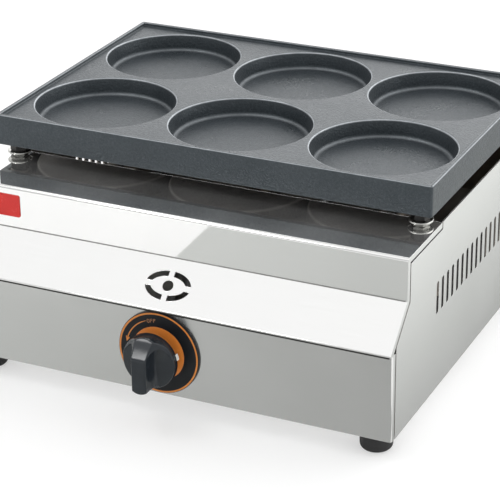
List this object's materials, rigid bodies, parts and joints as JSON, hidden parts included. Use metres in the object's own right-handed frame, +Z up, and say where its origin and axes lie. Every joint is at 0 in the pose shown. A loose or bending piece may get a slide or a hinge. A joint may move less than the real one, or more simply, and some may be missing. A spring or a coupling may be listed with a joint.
{
  "type": "gas griddle",
  "caption": "Countertop gas griddle: dark cast plate with round wells on corner studs above a folded stainless body with a sloped vented front and one push-and-turn knob.",
  "frame": {"origin": "centre of the bounding box on the floor under the feet", "axes": "+X to the right seen from the front, +Y to the rear, +Z up; the knob faces -Y"},
  "size_m": [0.382, 0.4336, 0.197],
  "materials": {
    "coated_casting": "dark non-stick coat on a cast plate",
    "polished_steel": "bright, close to mirror",
    "inner_steel": "plain mill finish",
    "burner_steel": "heat-tinted tube",
    "pipe_steel": "zinc-plated pipe",
    "brass": "machined",
    "plated_fasteners": "zinc plate",
    "badge_red": "bare gloss plate",
    "bezel_black": "satin black with printed marks",
    "bezel_orange": "orange edge",
    "knob_black": "semi-gloss black",
    "foot_rubber": "matt black"
  },
  "bodies": {
    "body": {"front_cover": "polished_steel", "control_panel": "polished_steel", "left_side_panel": "polished_steel", "right_side_panel": "polished_steel", "rear_panel": "polished_steel", "base_pan": "inner_steel", "badge_plate": "badge_red", "knob_bezel": "bezel_black", "bezel_ring": "bezel_orange", "valve_body": "brass", "valve_nut": "plated_fasteners", "gas_riser": "pipe_steel", "gas_manifold": "pipe_steel", "gas_jets": "brass", "burner_left": "burner_steel", "burner_middle": "burner_steel", "burner_right": "burner_steel", "burner_front_rail": "inner_steel", "burner_rear_rail": "inner_steel", "feed_pipe": "pipe_steel", "hose_nozzle": "brass", "bulkhead_nut": "brass", "feet": "foot_rubber", "foot_screws": "plated_fasteners", "foot_nuts": "plated_fasteners", "rear_screws": "plated_fasteners", "base_screws": "plated_fasteners"},
    "plate": {"mould_plate": "coated_casting", "plate_studs": "plated_fasteners", "jam_nuts": "plated_fasteners", "stud_washers": "plated_fasteners", "levelling_nuts": "plated_fasteners"},
    "plunger": {"valve_plunger": "brass"},
    "knob": {"control_knob": "knob_black", "valve_stem": "plated_fasteners"}
  },
  "joints": [
    {"name": "plate_lift", "type": "slide", "parent": "body", "child": "plate", "axis": [0, 0, 1], "range_m": [0, 0.12]},
    {"name": "knob_push", "type": "slide", "parent": "body", "child": "plunger", "axis": [0, 1, 0], "range_m": [0, 0.0035], "stiffness_N_per_m": 900, "springref_m": -0.002},
    {"name": "knob_turn", "type": "hinge", "parent": "plunger", "child": "knob", "pos_m": [-0.0035, -0.18315, 0.0545], "axis": [0, -1, 0], "range_deg": [0, 180]}
  ]
}
